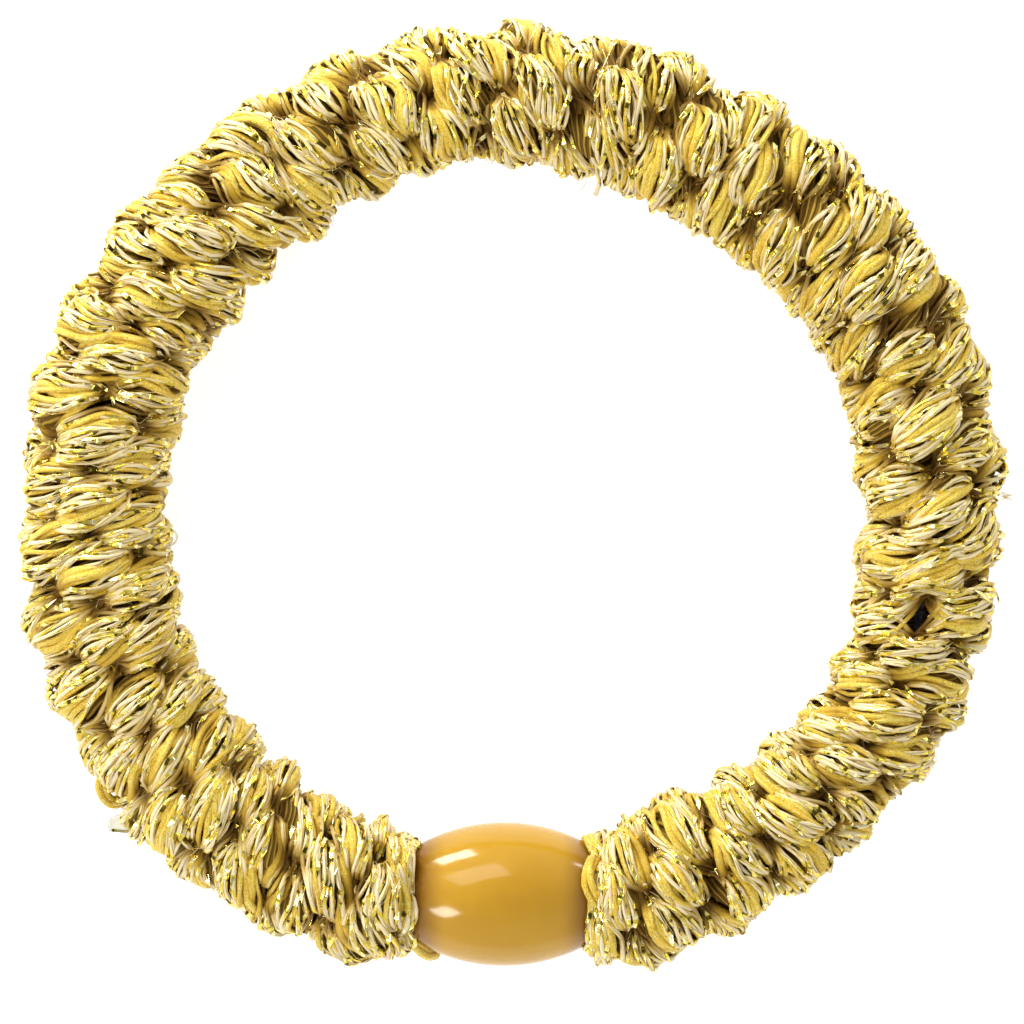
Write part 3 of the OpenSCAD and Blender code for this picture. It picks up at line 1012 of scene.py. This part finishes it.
clear_film = Finish("clear_film", Roughness=0.12, Transmission_Weight=0.6, IOR=1.45,
                    Base_Color=(0.97, 0.96, 0.84, 1))
pulled_plies = plies_of(free_line(BEAD_LOOP)) + plies_of(free_line(OUTER_LOOP))[:OUTER_LOOP_PLIES]
strand_tubes("floss_loops", pulled_plies, FLOSS_PLY_R, floss.material, resolution=2)
strand_tubes("yarn_tail", [free_line(YARN_TAIL)], CREAM_R, cream.material, resolution=2)
tight_lines = [free_line(corners) for corners in TIGHT_THREADS]
strand_tubes("tight_threads", tight_lines, TIGHT_THREAD_R, gold_film.material)
flap_widths = np.linspace(FLAP_WIDTH, FLAP_TIP_WIDTH, len(rounded(FLAP)))
ribbons("clear_slivers", [free_strip(FLAP, LEVEL, flap_widths)], clear_film.material)
strand_tubes("clear_rim", [free_line(FLAP_RIM)], FLAP_RIM_R, clear_film.material)
strand_tubes("clear_loop", [free_line(CLEAR_LOOP)], CLEAR_LOOP_R, clear_film.material)
gold_strips = [free_strip(FLAP_EDGE, LEVEL, FLAP_EDGE_WIDTH),
               free_strip(LOOP_EDGE, LEVEL, LOOP_EDGE_WIDTH),
               free_strip(SIDE_SLIVER, SIDEWAYS, SLIVER_WIDTH)]
ribbons("gold_sliver", gold_strips, gold_film.material)


# The loose fibres: fine filaments that have worked out of the flosses and creams. Each is still
# held in its yarn, and arcs a little way over it or ends free. One tuft of them stands out.

# Places on the strands that are tried for a fibre
FIBRE_TRIES = 700
FIBRE_POINTS = 7
FIBRE_R = 0.016 * mm
FIBRE_REST = 0.05 * mm
# Points at either end of a strand where no fibre comes out, and the depth from which none does
FIBRE_MARGIN = 5
FIBRE_DEPTH = 0.8 * mm
# The share that ends free, and how far free ends and arcs rise over the skin of the yarn
FREE_SHARE = 0.3
FREE_RISE = 0.7 * mm
ARC_RISE = 0.3 * mm
RISE_RANGE = (0.5, 1.4)
SKIN = 0.1 * mm
# How far fibres slant and curl to the side
SLANT_ASIDE = 0.35 * mm
CURL_ASIDE = 0.2 * mm
# The tuft, in mm: its place, how many fibres it has, how far apart they start, and how they lie
TUFT = (32.75, -0.25, 5.6)
TUFT_FIBRES = 14
TUFT_SPREAD = 0.12
TUFT_LENGTH = (0.25, 0.6)
TUFT_SLANT = -0.1
TUFT_RISE_SPREAD = 0.15
TUFT_BEND = (0, 0.05, 0.05)

fibre = Finish("loose_fibre", Roughness=0.4, Base_Color=(0.93, 0.78, 0.36, 1))
fibre_lines = []
sources = floss_lines + cream_lines
for _ in range(FIBRE_TRIES):
    points, normals, depth = sources[draw.integers(len(sources))]
    at = draw.integers(FIBRE_MARGIN, len(points) - FIBRE_POINTS - FIBRE_MARGIN)
    piece = slice(at, at + FIBRE_POINTS)
    if depth[piece].min() > FIBRE_DEPTH:
        continue
    side, top = sides_of(points[piece], normals[piece])
    t = np.linspace(0, 1, FIBRE_POINTS)
    free = draw.random() < FREE_SHARE
    rise = FREE_RISE * t ** 2 if free else ARC_RISE * np.sin(math.pi * t)
    out = rise * draw.uniform(*RISE_RANGE) + SKIN
    aside = draw.normal(0, SLANT_ASIDE) * t + draw.normal(0, CURL_ASIDE) * np.sin(math.tau * t)
    line = points[piece] + top * out[:, None] + side * aside[:, None]
    line[:, 2] = np.maximum(line[:, 2], FIBRE_REST)
    fibre_lines.append((line, normals[piece], depth[piece]))
for _ in range(TUFT_FIBRES):
    start = np.array(TUFT) + draw.normal(0, TUFT_SPREAD, 3)
    tip = start + (draw.uniform(*TUFT_LENGTH), draw.normal(TUFT_SLANT, TUFT_SPREAD),
                   draw.normal(0, TUFT_RISE_SPREAD))
    fibre_lines.append(free_line([start, (start + tip) / 2 + TUFT_BEND, tip]))
strand_tubes("loose_fibres", fibre_lines, FIBRE_R, fibre.material, resolution=0)


# The table and the light: a plain pale surface, a white room that is darker straight above, which
# the level facets of the film mirror, and four soft lights. None of them is part of the tie.
FLOOR_REACH = 1.5
ROOM_WHITE = (1, 1, 0.99, 1)
# Strength of the room's light at the horizon and straight above, and between which heights it falls
ROOM_LIGHT = 0.89
ROOM_LIGHT_ABOVE = 0.37
ROOM_FALLS = (0.5, 0.95)
# Share of it behind the tie, where the large lights are, and in front of it
BEHIND = 0.88
IN_FRONT = 0.92
# Azimuth from +X, elevation, distance, width, height and watts of each softbox
LIGHTS = [
    (119, 9.5, 0.34, 0.135, 0.125, 1.15),
    (119, 52, 0.34, 0.24, 0.14, 0.42),
    (220, 40, 0.34, 0.08, 0.095, 0.38),
    (44, 9, 0.36, 0.05, 0.04, 0.08),
]

# The surface glows a little, so that it is as pale as in the photo and still takes soft shadows
floor_finish = Finish("pale_floor", Roughness=0.9, Specular_IOR_Level=0.1,
                      Base_Color=(0.5, 0.5, 0.5, 1), Emission_Color=(1, 1, 1, 1),
                      Emission_Strength=0.82)
bm = bmesh.new()
bmesh.ops.create_grid(bm, x_segments=1, y_segments=1, size=FLOOR_REACH)
floor = new_piece("floor", bm, floor_finish.material)
floor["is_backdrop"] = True

world = bpy.data.worlds.new("studio")
bpy.context.scene.world = world
world.use_nodes = True
sky = world.node_tree
background = sky.nodes["Background"]
direction = Reading(sky, add_node(sky, "ShaderNodeTexCoord").outputs["Generated"])
split = add_node(sky, "ShaderNodeSeparateXYZ", None, {"Vector": direction})
across, back, height = [Reading(sky, output) for output in split.outputs]
side_share = (back - across * 0.3).band(-0.9, 0.7, IN_FRONT, BEHIND)
strength = height.band(*ROOM_FALLS, ROOM_LIGHT, ROOM_LIGHT_ABOVE) * side_share
plug(sky, background.inputs["Strength"], strength)
background.inputs["Color"].default_value = ROOM_WHITE

for number, (azimuth, elevation, distance, wide, high, watts) in enumerate(LIGHTS):
    light = bpy.data.lights.new(f"softbox_{number}", "AREA")
    light.shape = "RECTANGLE"
    light.size = wide
    light.size_y = high
    light.energy = watts
    stand = bpy.data.objects.new(f"softbox_{number}", light)
    a, e = math.radians(azimuth), math.radians(elevation)
    towards = Vector((math.cos(a) * math.cos(e), math.sin(a) * math.cos(e), math.sin(e)))
    stand.location = towards * distance
    stand.rotation_euler = towards.to_track_quat("Z", "Y").to_euler()
    bpy.context.scene.collection.objects.link(stand)


# The camera: it looks straight down from far away through a long lens, as in the photograph, and
# its frame is a little wider than the tie.
FRAME_WIDTH = 68.6 * mm
AIM = Vector((-0.03, -1.31, 5)) * mm
LENS = 180
CLIP_START = 0.01
camera_data = bpy.data.cameras.new("camera")
camera_data.lens = LENS
camera_data.clip_start = CLIP_START
camera = bpy.data.objects.new("camera", camera_data)
camera.location = AIM + Vector((0, 0, FRAME_WIDTH * LENS / camera_data.sensor_width))
bpy.context.scene.collection.objects.link(camera)
bpy.context.scene.camera = camera
bpy.context.scene.view_settings.view_transform = "Standard"

low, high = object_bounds()
